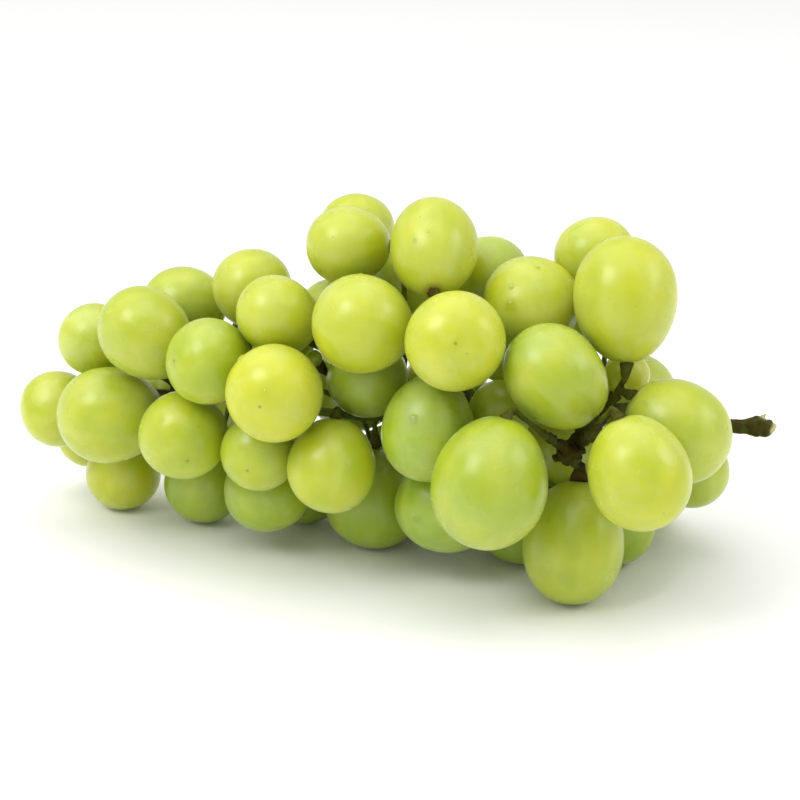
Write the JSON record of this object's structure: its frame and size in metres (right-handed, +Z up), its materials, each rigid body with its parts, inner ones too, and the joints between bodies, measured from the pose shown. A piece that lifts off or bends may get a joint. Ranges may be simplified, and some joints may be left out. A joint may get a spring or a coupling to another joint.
{
  "type": "bunch of grapes",
  "caption": "Bunch of pale green table grapes lying on its side: egg-shaped berries, each on its own short stalk, carried by one branched woody stem with a broken end.",
  "frame": {"origin": "on the table, under the middle of the bunch's bounding box", "axes": "+Z up from the table; +X along the bunch from its narrow tip towards the broken stalk end; +Y away from the side with the open fork of the stem"},
  "size_m": [0.1756, 0.0876, 0.0841],
  "materials": {
    "berry_skin": "satin translucent skin with a pale bloom",
    "stem_wood": "rough green-brown young wood",
    "water_drops": "clear droplets of water on the skins"
  },
  "bodies": {
    "root": {"berry_tip_1": "berry_skin", "berry_tip_2": "berry_skin", "berry_tip_3": "berry_skin", "berry_tip_4": "berry_skin", "berry_tip_5": "berry_skin", "berry_tip_6": "berry_skin", "berry_tip_7": "berry_skin", "berry_lower_1": "berry_skin", "berry_lower_2": "berry_skin", "berry_lower_3": "berry_skin", "berry_lower_4": "berry_skin", "berry_lower_5": "berry_skin", "berry_lower_6": "berry_skin", "berry_lower_7": "berry_skin", "berry_lower_8": "berry_skin", "berry_lower_9": "berry_skin", "berry_lower_10": "berry_skin", "berry_front_1": "berry_skin", "berry_front_2": "berry_skin", "berry_front_3": "berry_skin", "berry_front_4": "berry_skin", "berry_front_5": "berry_skin", "berry_front_6": "berry_skin", "berry_front_7": "berry_skin", "berry_front_8": "berry_skin", "berry_front_9": "berry_skin", "berry_front_10": "berry_skin", "berry_front_11": "berry_skin", "berry_front_12": "berry_skin", "berry_front_13": "berry_skin", "berry_front_14": "berry_skin", "berry_top_1": "berry_skin", "berry_top_2": "berry_skin", "berry_top_3": "berry_skin", "berry_top_4": "berry_skin", "berry_top_5": "berry_skin", "berry_top_6": "berry_skin", "berry_top_7": "berry_skin", "berry_top_8": "berry_skin", "berry_top_9": "berry_skin", "berry_top_10": "berry_skin", "berry_top_11": "berry_skin", "berry_top_12": "berry_skin", "berry_top_13": "berry_skin", "berry_back_1": "berry_skin", "berry_back_2": "berry_skin", "berry_back_3": "berry_skin", "berry_back_4": "berry_skin", "berry_back_5": "berry_skin", "berry_back_6": "berry_skin", "berry_back_7": "berry_skin", "berry_back_8": "berry_skin", "berry_back_9": "berry_skin", "berry_back_10": "berry_skin", "berry_back_11": "berry_skin", "berry_back_12": "berry_skin", "berry_back_13": "berry_skin", "berry_back_14": "berry_skin", "berry_unripe_1": "berry_skin", "stem": "stem_wood"}
  },
  "joints": []
}
